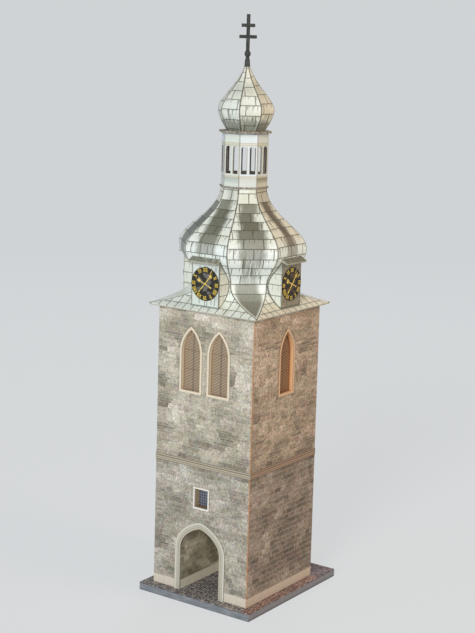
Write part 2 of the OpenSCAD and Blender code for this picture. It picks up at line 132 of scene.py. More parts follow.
class Tree:
    """Node tree of a material or the world, with the colour laid so far."""

    def __init__(self, owner):
        if isinstance(owner, str):
            owner = bpy.data.materials.new(owner)
        owner.use_nodes = True
        self.owner = owner
        self.nodes = owner.node_tree.nodes
        self.links = owner.node_tree.links
        self.nodes.clear()
        self.colour = None

    def node(self, kind, inputs=None, **settings):
        made = self.nodes.new("ShaderNode" + kind)
        for key, value in settings.items():
            setattr(made, key, value)
        for key, value in (inputs or {}).items():
            self.feed(made.inputs[key], value)
        return made

    def feed(self, socket, value):
        """Links a socket, or sets it. A tuple is a colour."""
        if isinstance(value, Num):
            value = value.socket
        if isinstance(value, bpy.types.NodeSocket):
            self.links.new(value, socket)
        else:
            socket.default_value = linear(value) if isinstance(value, tuple) else value

    def math(self, operation, *values, clamp=False):
        made = self.node("Math", operation=operation, use_clamp=clamp)
        for socket, value in zip(made.inputs, values):
            self.feed(socket, value)
        return Num(self, made.outputs[0])

    def vector(self, x, y, z):
        return self.node("CombineXYZ", {"X": x, "Y": y, "Z": z}).outputs[0]

    def parts(self, vector):
        made = self.node("SeparateXYZ", {"Vector": vector})
        return [Num(self, s) for s in made.outputs]

    def place(self):
        """The point's x, y and z in the tower's frame."""
        x, y, z = self.parts(self.node("TexCoord").outputs["Object"])
        return x * 1000, y * 1000 - AXIS_Y, z * 1000 - GROUND_Z

    def at(self):
        """The same, as a vector."""
        return self.vector(*self.place())

    def normal(self):
        return self.parts(self.node("NewGeometry").outputs["True Normal"])

    def across(self):
        """Distance to the right of the axis, along the point's side."""
        x, y, _ = self.place()
        nx, ny, _ = self.normal()
        return y * nx - x * ny

    def flank(self, soft=0.5):
        """1 on the right and left sides, 0 on the front and the back."""
        x, y, _ = self.place()
        return (x.abs() - y.abs()).rise(-soft, soft)

    def noise(self, vector, size, detail=2, rough=0.5):
        """Noise about 0.5, with blotches of a size, at a vector or three numbers."""
        if isinstance(vector, tuple):
            vector = self.vector(*vector)
        inputs = {"Vector": vector, "Scale": 1 / size, "Detail": detail, "Roughness": rough}
        return Num(self, self.node("TexNoise", inputs).outputs[0])

    def cells(self, value, jitter=0.8):
        """Uneven cells along a line: middle, chance number, distance to the edge."""
        inputs = {"W": value, "Scale": 1, "Randomness": jitter}
        near = self.node("TexVoronoi", inputs, voronoi_dimensions="1D")
        edge = self.node("TexVoronoi", inputs, voronoi_dimensions="1D", feature="DISTANCE_TO_EDGE")
        middle = Num(self, near.outputs["W"])
        chance = Num(self, self.node("SeparateColor", {"Color": near.outputs["Color"]}).outputs[0])
        return middle, chance, Num(self, edge.outputs["Distance"])

    def chance(self, x, y=0, z=0):
        """A chance number, 0 to 1, for each set of whole numbers."""
        made = self.node("TexWhiteNoise", {"Vector": self.vector(x, y, z)}, noise_dimensions="3D")
        return Num(self, made.outputs["Value"])

    def mix(self, amount, first, second, blend="MIX"):
        """From the first colour at amount 0 to the second at 1."""
        made = self.node("Mix", {0: amount}, data_type="RGBA", blend_type=blend)
        self.feed(made.inputs[6], first)
        self.feed(made.inputs[7], second)
        return made.outputs[2]

    def lay(self, amount, colour, blend="MIX"):
        """Lays a colour over the one so far, none of it at amount 0."""
        self.colour = self.mix(amount, self.colour, colour, blend)

    def mottle(self, vector, size, amount):
        """Lays a slight drift of hue and tone, in blotches of a size."""
        made = self.node("TexNoise", {"Vector": vector, "Scale": 1 / size, "Detail": 2})
        self.lay(amount, made.outputs["Color"], "SOFT_LIGHT")

    def shade(self, colour, factor):
        """The colour times a number."""
        grey = self.node("CombineColor", {"Red": factor, "Green": factor, "Blue": factor})
        return self.mix(1, colour, grey.outputs[0], "MULTIPLY")

    def ramp(self, value, stops, blend="LINEAR"):
        """Colour by value, through (place, colour) stops. Four numbers are taken as they are."""
        made = self.node("ValToRGB", {"Fac": value})
        band = made.color_ramp
        band.interpolation = blend
        while len(band.elements) < len(stops):
            band.elements.new(0.5)
        for element, (at, colour) in zip(band.elements, stops):
            element.position = at
            element.color = colour if len(colour) == 4 else linear(colour)
        return made.outputs[0]

    def curve(self, value, points):
        """A number looked up on a line through (value, result) points."""
        made = self.node("FloatCurve", {"Value": value})
        line = made.mapping.curves[0]
        line.points[0].location = points[0]
        line.points[1].location = points[-1]
        for point in points[1:-1]:
            line.points.new(*point)
        made.mapping.update()
        return Num(self, made.outputs[0])

    def shader(self, roughness, height=None, tone=None, specular=0.35):
        """Shader of the colour so far times tone, with a height as bump."""
        if tone is not None:
            self.colour = self.shade(self.colour, tone)
        inputs = {"Base Color": self.colour, "Roughness": roughness, "Specular IOR Level": specular}
        made = self.node("BsdfPrincipled", inputs)
        if height is not None:
            bump = self.node("Bump", {"Strength": 1, "Distance": MM, "Height": height})
            self.feed(made.inputs["Normal"], bump.outputs[0])
        return made.outputs[0]

    def surface(self, *looks, **more):
        """Ends a material's tree with its shader."""
        self.node("OutputMaterial", {"Surface": self.shader(*looks, **more)})
        return self.owner

    def grain(self, amount, broad_amount=0.1):
        """Grain as a factor about 1, and as a height."""
        at = self.at()
        fine = self.noise(at, 0.35, 2, 0.6)
        wide = self.noise(at, 1.4)
        return (fine - 0.5) * amount + (wide - 0.5) * broad_amount + 1, fine * 0.012

    def printed(self, amount, roughness, relief=0, tone=1):
        """Ends a print, with grain in its tone and its height."""
        factor, height = self.grain(amount)
        return self.surface(roughness, height + relief, factor * tone)


# ---- printed masonry

COURSE = 2.72
STONE = 4.6
FACET_H = 1.36
FACET_W = 1.9
LANCET_HALF = 7.1
LANCET_R = 16.9
LANCET_SPRING = 126.4
LANCET_SILL = 105.4
PAIR_OFFSET = 8.75


def masonry(t, across, z, patches, spread, single, halved, wobble):
    """Coursed rough stones of chance lengths, a share of the courses halved, in clusters of like tone.

    Gives the tone, the upright and level joints, and a chance for each stone.
    """
    along = across + (t.noise((across, z, 6), 1.7) - 0.5) * (2.2 * wobble)
    up = z + (t.noise((across, z, 16), 1.7) - 0.5) * (1.3 * wobble)
    course = (up / COURSE).floor()
    within = (up / COURSE).fract()
    thin = t.chance(course, 4).rise(halved, halved - 0.01)
    upper = (within * 2).floor() * thin
    level = (course + 0.5 + (upper * 0.5 - 0.25) * thin) * COURSE
    shift = course * 7.31 + upper * 3.13
    middle, chance, edge = t.cells(along / STONE + shift)
    centre = (middle - shift) * STONE
    cluster = t.noise((centre, level * 1.5, 3.7), 14, 2, 0.45)
    tone = (cluster - 0.5) * (1.9 * spread) + (chance - 0.5) * single + 0.5
    tone = tone - (chance * 7.13).fract().rise(0.86, 0.89) * single * 0.8
    soft_x = centre * 0.85 + along * 0.15
    soft_z = level * 0.85 + up * 0.15
    for at_x, at_z, half_x, half_z, depth in patches:
        reach = ((soft_x - at_x) / half_x).op("POWER", 2) + ((soft_z - at_z) / half_z).op("POWER", 2)
        tone = tone - reach.rise(1.7, 0.5) * depth
    rows = thin + 1
    row_share = (within * rows).fract()
    above = row_share.least(row_share.flipped()) * COURSE / rows
    return tone.clamped(), (edge * STONE).rise(0.42, 0.12), above.rise(0.42, 0.12), chance


def hewn(t, across, z, amount):
    """Rough stone faces as a factor about 1: dashes, specks and small facets."""
    up = z + (t.noise((across, z, 26), 2.4, 1) - 0.5) * 1.6
    row = (up / FACET_H).floor()
    _, chance, edge = t.cells(across / FACET_W + row * 4.37)
    tick = (edge * FACET_W).rise(0.36, 0.08)
    dash = t.noise((across, z * 1.05, 1), 1.15, 2, 0.6)
    speck = t.noise((across, z, 8), 0.8, 1)
    facet = chance - 0.5 - tick * 0.5
    return (dash - 0.5) * amount + (speck - 0.5) * (amount * 0.45) + facet * (amount * 0.2) + 1


def lancet_shadow_line(across, z, offset):
    """Painted shadow: a dark line on the wall down the left of each lancet's surround."""
    local = across - across.op("SIGN") * offset
    beside = local.abs()
    curved = length(beside + (LANCET_R - LANCET_HALF), z - LANCET_SPRING) - LANCET_R
    above = z.rise(LANCET_SPRING - 0.01, LANCET_SPRING + 0.01)
    out = (beside - LANCET_HALF) * above.flipped() + curved * above
    return out.inside(-0.3, 0.35, 0.12) * local.rise(0.5, -1) * z.rise(LANCET_SILL - 0.2, LANCET_SILL + 0.2)


# Patches of darker or lighter stone, the widest spanning a whole wall: middle across and up, half width,
# half height, and how much darker
FRONT_PATCHES = (
    (-26.5, 98.5, 6, 5.5, 0.3), (-27, 109.5, 4.5, 3, 0.25), (-28.5, 129, 2.5, 4, 0.2),
    (18, 113.5, 3, 8, 0.22), (16.5, 85.5, 5.5, 4.5, 0.32), (-9, 87, 5.5, 3.5, 0.2), (-2, 92, 9, 1.8, 0.22),
    (8.5, 98, 5.5, 3.5, 0.2), (5, 79.6, 8.5, 1.8, 0.28), (-27, 84, 4, 3, 0.22),
    (23.5, 116, 3.5, 5.5, -0.28), (25, 141, 5.5, 6.5, -0.3), (-21, 119, 4.5, 4.5, -0.18),
    (-16.5, 96, 3.5, 8, -0.18), (25.5, 98, 4.5, 7, -0.16), (10.5, 63.4, 7.5, 1.9, 0.34),
    (15.3, 49, 3.6, 2.4, 0.3), (24.5, 51.5, 5.5, 7, 0.2), (-24, 52.2, 7, 1.9, 0.3),
    (-15, 48.6, 9.5, 2, 0.22), (-8, 45, 7, 2.2, 0.2), (-24, 31, 7, 10, 0.22), (-22, 8, 8, 2.6, 0.22),
    (-24.5, 17.8, 4, 2.4, -0.32), (-26, 12.5, 3, 2.5, -0.2), (22.5, 20.5, 3.5, 4.5, -0.34),
    (24, 12, 5.5, 3, -0.28), (28, 24, 2.5, 2, 0.35), (23, 35, 6, 4, 0.12), (0, 146, 40, 4.5, -0.14),
    (-17, 52, 15, 16, -0.12), (17, 52, 15, 15, -0.14), (-23, 22, 8, 16, 0.07), (22, 22, 8, 16, 0.1),
    (23, 118, 7, 14, -0.22),
)
RIGHT_PATCHES = (
    (12, 24, 22, 24, 0.14), (8, 62, 22, 5, 0.14), (-20, 50, 12, 10, -0.16), (-5, 41.5, 5.5, 3.4, -0.45),
    (-12.8, 32.5, 3.6, 5, -0.5), (17, 56.8, 6.5, 3.2, -0.5), (-26, 54, 3.5, 9, -0.2),
    (-27.5, 20, 2.5, 12, -0.2), (10, 8, 18, 3.2, -0.3), (-7.5, 43, 2.2, 4, 0.45), (-11, 34, 2.2, 2.5, 0.45),
    (7, 15, 14, 9, 0.1), (16.5, 128, 4.5, 2.4, 0.35), (-21, 115.6, 3, 1.8, 0.3), (-21, 96, 3.2, 3.6, 0.28),
    (0, 91.6, 8, 1.6, 0.25), (8.5, 76.3, 3, 1.6, 0.3), (22, 77, 3, 2, 0.3), (-5.5, 86.5, 6.5, 4.5, -0.25),
    (-28, 130, 2.5, 14, -0.18), (24, 142, 6, 6, -0.15), (-17, 128, 15, 22, -0.2), (0, 21, 40, 16, 0.12),
    (0, 52, 40, 15, 0.07), (2, 128, 30, 22, -0.1),
)
STONE_TONES = (
    (0, (132, 127, 114)), (0.25, (160, 155, 141)), (0.5, (189, 183, 168)),
    (0.75, (206, 200, 186)), (1, (228, 223, 211)),
)
MORTAR = (220, 216, 206)
PLINTH_TOP = 4.8
RAW_CARD = (200, 136, 80)


def stone_print(name, patches, tint, joints, spread, single, halved, wobble, rough, plinth, offset):
    """Stone of a wall, with a plinth, painted shade on the courses just above and below the band, and
    corners rubbed through to the raw card.
    """
    t = Tree(name)
    x, y, z = t.place()
    across = t.across()
    at = t.at()
    tone, upright_gap, level_gap, chance = masonry(t, across, z, patches, spread, single, halved, wobble)
    factor, height = t.grain(0.1, 0.05)
    t.colour = t.ramp(tone, STONE_TONES)
    gap = level_gap.most(upright_gap * 0.4)
    t.lay(gap * joints, MORTAR)
    t.lay(t.noise(at, 6, 1).rise(0.45, 0.75) * 0.14, (214, 194, 178))
    t.mottle(at, 2.4, 0.24)
    for turn, share, hue in ((5.37, 0.65, (186, 158, 152)), (9.71, 0.5, (192, 182, 144))):
        t.lay((chance * turn).fract().rise(0.6, 0.75) * (single * share), hue)
    # painted shade: the courses just above and below the string course are darkened
    band_shade = z.inside(STRING_LOW - 1.9, STRING_HIGH + 2.2, 0.25)
    factor = factor * hewn(t, across, z, rough) * (band_shade.flipped() * 0.15 + 0.85)
    t.colour = t.shade(t.colour, factor)
    t.lay(1, tint, "MULTIPLY")
    # painted shadow down the left of each lancet's surround
    t.lay(lancet_shadow_line(across, z, offset) * 0.6, (104, 84, 62))
    block_joint = ((across + 3.2) / 6.8).off_half().rise(0.475, 0.495) * 0.2
    low_line = z.rise(0.5, 0.15) * 0.4
    plain, _ = t.grain(0.16)
    foot = z.rise(PLINTH_TOP + 0.12, PLINTH_TOP - 0.12)
    t.lay(foot, t.shade(plinth, plain * block_joint.flipped() * low_line.flipped()))
    fold = across.abs().rise(HALF_WALL - 0.95, HALF_WALL - 0.5)
    worn_and_shaded = t.noise((0, 0, z), 6).rise(0.3, 0.7) * 0.6 + 0.4
    t.lay(fold * worn_and_shaded * (x * y).rise(0, -1) * 0.65, RAW_CARD)
    return t.surface(0.72, height - gap * 0.02)


def dress_walls():
    """The walls of both storeys: the back repeats the front, and the left the right, whose tint and plinth
    are darker and warmer as painted shade.
    """
    # The flank tints are darker and warmer than the front's: painted shade of the sides.
    storeys = (
        ("lower", (238, 239, 241), (217, 204, 200), 0.9, 0.55, 0, 1.4),
        ("upper", (253, 253, 251), (243, 227, 217), 1, 0.3, 0.5, 1.2),
    )
    for storey, face_tint, flank_shade_tint, spread, flank_joints, flank_halved, face_rough in storeys:
        face = stone_print(
            f"stone_{storey}", FRONT_PATCHES, face_tint, joints=0.25, spread=spread, single=0.22, halved=0.5,
            wobble=0.7, rough=face_rough, plinth=(222, 214, 199), offset=PAIR_OFFSET,
        )
        # painted shade: the flank copy and its plinth are darker and warmer
        flank = stone_print(
            f"stone_flank_{storey}", RIGHT_PATCHES, flank_shade_tint, joints=flank_joints, spread=spread,
            single=0.38, halved=flank_halved, wobble=0.45, rough=1.55, plinth=(222, 205, 186), offset=0,
        )
        dress(face, f"front_{storey}_wall", f"back_{storey}_wall")
        dress(flank, f"right_{storey}_wall", f"left_{storey}_wall")


def dress(material, *nodes):
    """Gives CAD nodes their material."""
    for node in nodes:
        slots = NODES[node].data.materials
        slots.clear()
        slots.append(material)


# ---- gateway, passage and base

HALF_GATE = 12.55
SPRING = 22.5
HAUNCH_R = 10.15
HAUNCH_ANGLE = radians(40.7)
HAUNCH_X = HALF_GATE - HAUNCH_R
CROWN_R = 18.75
CROWN_X = HAUNCH_X - (CROWN_R - HAUNCH_R) * cos(HAUNCH_ANGLE)
CROWN_Z = SPRING - (CROWN_R - HAUNCH_R) * sin(HAUNCH_ANGLE)
SURROUND_W = 3.35
SETT = 1.35


def string_print():
    """Cream band with fine brown lines, darker and warmer on the flanks as painted shade."""
    t = Tree("string_course")
    _, _, z = t.place()
    groove = ((z - STRING_LOW) / 1.1).off_half().rise(0.16, 0.36)
    t.colour = t.mix(groove * 0.8, (189, 181, 162), (110, 97, 78))
    t.lay((z - STRING_LOW).inside(1, 1.5, 0.12) * 0.35, (222, 212, 190))
    # painted shade: the flanks are darker and warmer
    t.lay(t.flank(), (242, 217, 208), "MULTIPLY")
    return t.printed(0.24, 0.7, groove * -0.06)


def surround_print():
    """Arch moulding in three bands that follow its outline."""
    t = Tree("arch_surround")
    _, _, z = t.place()
    across = t.across().abs()
    beside = across - HAUNCH_X
    up = z - SPRING
    from_haunch = length(beside, up) - HAUNCH_R
    from_crown = length(across - CROWN_X, z - CROWN_Z) - CROWN_R
    steep = tan(HAUNCH_ANGLE)
    on_haunch = (up / beside.most(0.01)).rise(steep - 0.01, steep + 0.01).most(beside.rise(0.02, 0))
    curved = from_haunch * on_haunch.flipped() + from_crown * on_haunch
    above = z.rise(SPRING - 0.01, SPRING + 0.01)
    out = ((across - HALF_GATE) * above.flipped() + curved * above) / SURROUND_W
    stops = (
        (0, (206, 199, 182)), (0.22, (188, 182, 166)), (0.32, (170, 166, 152)),
        (0.42, (201, 198, 184)), (0.58, (196, 194, 180)), (0.64, (166, 164, 151)),
        (0.72, (222, 219, 206)), (0.93, (218, 216, 203)), (1, (172, 169, 155)),
    )
    t.colour = t.ramp(out, stops)
    return t.printed(0.08, 0.65, (out * pi * 3).op("SINE") * 0.05)


def passage_print():
    """Olive-brown stone, with weathered patches and a tan foot, painted lighter than the outer plinth as
    painted light.
    """
    t = Tree("passage_stone")
    x, y, z = t.place()
    run = y + 40
    up = z + x.abs() * 0.4
    tone, upright_gap, level_gap, _ = masonry(t, run, up, (), 1.3, 0.25, 0.5, 0.7)
    gap = upright_gap.most(level_gap)
    t.colour = t.ramp(tone, ((0.1, (146, 138, 114)), (0.5, (200, 190, 164)), (0.9, (236, 227, 202))))
    t.lay(gap * 0.35, (206, 198, 174))
    damp = t.noise((y * 0.6, z, x * 0.1), 11).rise(0.46, 0.66)
    t.lay(damp * 0.6, (124, 122, 98))
    t.colour = t.shade(t.colour, hewn(t, run, up, 0.85))
    joint = (y / 11).off_half().rise(0.484, 0.495) * 0.3
    # the tan plinth print, painted lighter here as painted light in the passage
    foot = z.rise(PLINTH_TOP + 0.12, PLINTH_TOP - 0.12)
    t.lay(foot, t.shade((255, 245, 222), joint.flipped()))
    return t.printed(0.16, 0.75, gap * -0.02)


def sett_print():
    """Setts in wavy rows, coarser on the right and at the back, where each sett has a painted highlight in
    its middle and darker edges.
    """
    t = Tree("cobbles")
    x, y, _ = t.place()
    flat = t.vector(x, y, 0)
    deep = y + t.noise(flat, 4, 1) * 0.7
    _, chance, edge = t.cells(x / SETT + (deep / SETT).floor() * 5.17, 0.5)
    within = (deep / SETT).fract()
    gap = (edge.least(within.least(within.flipped())) * SETT).rise(0.34, 0.12)
    stops = ((0, (118, 112, 112)), (0.4, (168, 163, 161)), (0.75, (206, 200, 194)), (1, (228, 216, 206)))
    t.colour = t.ramp(chance, stops)
    t.mottle(flat, 1.4, 0.5)
    right = x.rise(29.5, 31)
    behind = y.rise(27, 34)
    warm = right * y.rise(34, 27)
    t.lay(warm * 0.46, (204, 152, 130))
    t.lay(behind, (226, 204, 216), "MULTIPLY")
    t.lay(gap * 0.9, t.mix(warm * 0.6, (66, 60, 64), (104, 66, 54)))
    foot_line = (x.abs() - 30.2).abs().least((y.abs() - 30.2).abs()).rise(0.6, 0.2)
    t.lay(foot_line * 0.35, (96, 60, 50))
    row = deep / (SETT * 1.9)
    slot = x / (SETT * 1.4) + row.floor() * 0.5
    # painted highlight: each big sett is bright in its middle and darker at its edges
    crown_highlight = slot.off_half().most(row.off_half()).rise(0.5, 0.22)
    coarse = (crown_highlight - 0.5) * 0.62 + (t.chance(slot.floor(), row.floor()) - 0.5) * 0.4
    tone = (t.noise(flat, 7) * 0.5 + 0.75) * (coarse * right.most(behind) + 1)
    return t.printed(0.45, 0.75, gap * -0.08, tone)


def board_material():
    """Grey board with brushed streaks and a dark rubbed top edge; its right and left sides are painted
    lighter as painted light, and painted shade darkens its foot, more so down those sides.
    """
    t = Tree("grey_board")
    _, _, z = t.place()
    nx, _, _ = t.normal()
    streak = t.noise(t.vector(t.across() * 0.25, 0, z * 1.6), 1.6, 3, 0.6)
    t.colour = t.ramp(streak, ((0.3, (112, 120, 128)), (0.5, (132, 138, 144)), (0.7, (152, 155, 160))))
    # painted light: the right and left sides are lighter
    flank = nx.abs().rise(0.5, 0.6)
    t.lay(flank * 0.6, (158, 152, 156))
    # dark top edge, and painted shade along the foot that deepens down the right and left sides
    rim = z.rise(-0.75, -0.35).most(z.rise(-3.45, -3.95)).most(z.rise(-2.4, -4) * flank)
    t.lay(rim * 0.55, (66, 64, 70))
    return t.printed(0.18, 0.8, streak * 0.05)


# ---- windows


def trim_print(name, faces, reveals, cut, depth, fade):
    """Card trim in (front, flank) colours for its face and reveals, with a brown cut at their end.

    A reveal keeps the face's colour for a little way in, top faces by the wall are painted dark brown as
    painted shade, and a brown line edges the trim on the wall.
    """
    t = Tree(name)
    x, y, _ = t.place()
    nx, ny, nz = t.normal()
    out = x.abs().most(y.abs())
    flank = t.flank(1)
    outward = nx.abs() * flank + ny.abs() * flank.flipped()
    into = out.rise(HALF_WALL + 0.1, HALF_WALL - fade)
    t.colour = t.mix(into, t.mix(flank, *faces), t.mix(flank, *reveals))
    t.lay(out.rise(HALF_WALL - depth + 0.5, HALF_WALL - depth + 0.25) * 0.85, cut)
    # painted shade: the top faces by the wall, the sills, are dark brown
    sill = nz.rise(0.4, 0.8) * out.rise(HALF_WALL - 0.4, HALF_WALL - 1)
    t.lay(sill * 0.7, (110, 74, 44))
    rim = outward.rise(0.7, 0.3) * out.rise(HALF_WALL, HALF_WALL + 0.04)
    t.lay(rim * 0.8, (128, 100, 74))
    return t.printed(0.14, 0.65)


def louvre_print():
    """Slanting slats in two leaves with a dark line between, darker and warmer on the flanks as painted
    shade.
    """
    t = Tree("louvres")
    _, _, z = t.place()
    across = t.across()
    flank = t.flank()
    leaf = across - flank.flipped() * PAIR_OFFSET * across.op("SIGN")
    bright = ((z - leaf * (0.6 - flank * 1.2)) / 1.5).off_half().rise(0.34, 0.14)
    # painted shade: the flank colours are darker and warmer
    dark = t.mix(flank, (148, 131, 110), (132, 102, 78))
    pale = t.mix(flank, (184, 165, 142), (176, 138, 106))
    t.colour = t.mix(bright * 0.7, dark, pale)
    t.lay(leaf.abs().rise(0.7, 0.25) * flank.flipped() * 0.6, (98, 94, 86))
    rails = z.inside(117.25, 117.6, 0.1).most(z.inside(127.2, 127.55, 0.1))
    t.lay(rails * 0.45, (78, 66, 50))
    t.lay(leaf.abs().rise(5.2, 5.9) * 0.35, (130, 92, 62))
    return t.printed(0.2, 0.7, bright * 0.08)


def pane_print():
    """Dark panes behind the small window's bars."""
    t = Tree("dark_panes")
    tone = t.noise(t.at(), 1.5)
    t.colour = t.ramp(tone, ((0.3, (52, 56, 78)), (0.7, (84, 88, 108))))
    return t.surface(0.35, tone * 0.01)


# ---- sheet-metal print of the roofs

SHEET_W = 10.3
SHEET_H = 5.46
SHEET_WHITE = (238, 244, 235)
# warmer, darker white of the right and left gores: painted shade of the sides
FLANK_SHADE_WHITE = (240, 234, 214)
SEAM = (80, 79, 60)
ONION_STAIN = (132, 137, 124)
NOWHERE = 900


def sheets(t, u, v, phase, joint_at, skirt_from):
    """Staggered sheets: row, distance below its seam, seams, joints, and a chance for each."""
    step = (v - phase) / SHEET_H
    row = step.floor()
    below = (step - row) * SHEET_H
    odd = (row * 0.5).fract() * 2
    halved = v.rise(skirt_from, skirt_from + 0.1) + 1
    slot = ((u - joint_at) / SHEET_W + odd * 0.5 + 0.5) * halved
    seam = below.rise(0.34, 0.14).most(below.rise(SHEET_H - 0.3, SHEET_H - 0.1))
    joint = (slot.off_half() * SHEET_W / halved).rise(0.34, 0.14)
    return row, below, seam, joint, t.chance(row, slot.floor(), 2)


def drips(t, u, row, below):
    """Dark runs that hang from each seam, of chance lengths."""
    place = u / 1.35 + row * 3.77
    middle, chance, _ = t.cells(place, 1)
    beside = (place - middle).abs() * 1.35
    return beside.rise(0.32, 0.12) * (chance * 3 - below).rise(-0.2, 0.6) * chance.rise(0.15, 0.35)


def metal_print(
    name, phase, joint_at, stained, white, stain, skirt_from=NOWHERE, drips_from=-9, plain_from=NOWHERE
):
    """Weathered white sheets of a gore, with a painted highlight round the belly; stained() gives how dark
    and how grey each place is.

    Distances run down the gore from its top: the sheets are half as wide from skirt_from on, the runs begin
    at drips_from, and the foot has no lines from plain_from on.
    """
    t = Tree(name)
    u, v, half = t.parts(t.node("Attribute", attribute_name="sheet").outputs["Vector"])
    row, below, seam, joint, chance = sheets(t, u, v, phase, joint_at, skirt_from)
    dark, soft = stained(t, u, v, half, row)
    at = t.at()
    streak = t.noise((u * 1.6, v * 0.12, 0), 1.6, 3, 0.6)
    # painted highlight: whiter sheets round the belly, with fainter streaks and blotches there
    belly_highlight = v.inside(33, 66, 5)
    uneven = belly_highlight * -0.7 + 1
    t.colour = t.mix(belly_highlight, white, (246, 255, 252))
    t.lay(v.rise(drips_from - 7, drips_from - 11) * 0.5, (255, 252, 244))
    t.lay(streak.rise(0.5, 0.78) * uneven * 0.26, (178, 186, 174))
    t.lay(chance.rise(0.6, 0.95) * uneven * 0.3, (210, 208, 188))
    t.lay(soft, (138, 142, 128))
    t.lay(dark, stain)
    cut_up = v.rise(plain_from - 5.4, plain_from - 5.6)
    runs = drips(t, u, row, below) * v.rise(drips_from, drips_from + 6) * cut_up
    t.lay(runs * 0.7, (104, 106, 90))
    lines = seam.most(joint * cut_up) * v.rise(plain_from + 0.3, plain_from)
    t.lay(lines * 0.85, SEAM)
    from_rim = half - u.abs()
    rim = from_rim.rise(0.55, 0.2)
    t.lay(rim * 0.85, (88, 80, 60))
    t.lay(from_rim.inside(0.6, 1.1, 0.25) * 0.25, (240, 242, 234))
    fine = t.noise(at, 0.35, 2, 0.6)
    cloud = t.noise(at, 1.3)
    brushed = t.noise((u * 2.2, v * 0.3, 7), 1)
    tone = (fine - 0.5) * 0.2 + (cloud - 0.5) * 0.16 + (brushed - 0.5) * (dark * 0.7 + 0.1) + 1
    return t.surface(0.55, fine * 0.01 - lines * 0.05 - rim * 0.05, tone, specular=0.4)


# For each row from the top: how far a stain reaches left and right, and how dark it is
FRONT_ROWS = (
    (1.4, 2.6, 0.42), (5.4, 3, 0.88), (5.6, 4, 1), (5.6, 4.8, 1),
    (5.6, 5.2, 0.98), (6.4, 5.6, 0.86), (6.6, 5.8, 0.58), (0, 0, 0),
)
FLANK_ROWS = (
    (9, 9, 0.35), (4, 3.4, 0.98), (3.6, 3.5, 1), (3, 3.6, 1),
    (2.6, 3.7, 1), (4, 4.2, 0.88), (4, 4.4, 0.62), (0, 0, 0),
)
CORNER_ROWS = (
    (0, 0, 0), (4.8, 5.5, 0.84), (6.1, 3.2, 0.94), (5.4, 5.9, 1), (7.6, 8, 0.92),
    (7.4, 7.8, 0.74), (7.2, 7, 0.68), (5.4, 5.6, 0.56), (4, 4.6, 0.42), (4.6, 4.6, 0.46),
    (7.2, 5.2, 0.72), (7.4, 6.8, 0.78), (7, 6.4, 0.86), (6, 6, 0.9), (6, 6, 0.9),
)
# Rows of the front-left corner gore: stains widened into painted shade across it, in a bluish grey that is a
# painted reflection.
STAIN_AND_SHADE_ROWS = tuple((5.6, 11, dark) for dark in (0, 0.84, 0.92, 1, 0.92, 0.84, 0.72, 0.56, 0.3, 0))
MOST_ROWS = 16
MOST_REACH = 12


def row_stains(rows, streak_from, streak_to):
    """Stains of a roof gore, row by row, with streaks below them."""

    def stained(t, u, v, half, row):
        stops = [
            ((k + 0.01) / MOST_ROWS, (left / MOST_REACH, right / MOST_REACH, dark, 1))
            for k, (left, right, dark) in enumerate(rows)
        ]
        looked_up = t.ramp((row + 0.5) / MOST_ROWS, stops, "CONSTANT")
        split = t.node("SeparateColor", {"Color": looked_up})
        left, right, strength = [Num(t, s) for s in split.outputs]
        wander = (t.noise((u * 0.9, v * 0.5, row * 3.1), 1.6, 3, 0.6) - 0.5) * 3.4
        reach_left = left * MOST_REACH + u + wander
        reach_right = right * MOST_REACH - u + wander
        gaps = t.noise((u * 0.9, v * 0.07, 11), 1).rise(0.5, 0.64) * v.inside(41, 56, 2.5) * 0.8
        rim = (half - u.abs()).rise(1.8, 0.4) * v.rise(56, 58) * 0.85
        dark = reach_left.least(reach_right).rise(-1.4, 2.2) * strength * gaps.flipped() * rim.flipped()
        lines = t.noise((u, v * 0.06, 5), 0.95).rise(0.49, 0.63)
        span = v.inside(streak_from, streak_to, 3.5) * (6.2 - u.abs()).rise(0, 2)
        return dark, lines * span * 0.8

    return stained


def onion_stains(damp_from, streak_from):
    """Ragged damp on an onion gore's underside, with streaks above it."""

    def stained(t, u, v, _, __):
        rag = t.noise((u * 1.3, v * 0.05, damp_from), 1) - 0.5
        damp = (v + rag * 6.4).rise(damp_from - 1.2, damp_from + 1.5)
        lines = t.noise((u, v * 0.05, streak_from), 0.75, 1).rise(0.46, 0.6)
        faint = t.noise((u * 0.7, v * 0.1, 4), 1.5).rise(0.45, 0.7) * 0.2
        veil = v.inside(9, 16, 2.5) * 0.28
        return damp * 0.84, (lines * v.rise(streak_from - 0.6, streak_from + 1.5) * 0.5).most(faint + veil)

    return stained


# ---- roof geometry

EAVES = (34.05, 150)
NECK = (22.4, 162.3)
BELLY = (31.5, 179.8)
ONION_Z = 239.7
ONION_BELLY = (13.75, 10.9)
CARD = 0.5
OCT = tan(radians(22.5))
TIP_HALF = 0.2
LATERAL = 6


def outline(*spans):
    """Cubic curves end to end, as (distance from the axis, height) points.

    A span is its start, the start's pull, the end's pull, its end, and a number of steps.
    """
    made = []
    for start, start_pull, end_pull, end, steps in spans:
        a, d = Vector(start), Vector(end)
        b, c = a + Vector(start_pull), d + Vector(end_pull)
        for i in range(steps):
            s = i / steps
            made.append((1 - s) ** 3 * a + 3 * s * (1 - s) ** 2 * b + 3 * s * s * (1 - s) * c + s ** 3 * d)
    return made + [d]


DOME = outline(
    (EAVES, (-5.8, 2.6), (0, -4.8), NECK, 24),
    (NECK, (0, 6.2), (0, -7.3), BELLY, 20),
    (BELLY, (0.3, 9.7), (0.6, -14), (11.2, 210.5), 34),
)
ONION = outline(
    ((9.3, 0), (2.1, 3.2), (0, -3.3), ONION_BELLY, 18),
    (ONION_BELLY, (0, 4.9), (2.3, -8.7), (1.5, 32.5), 34),
)


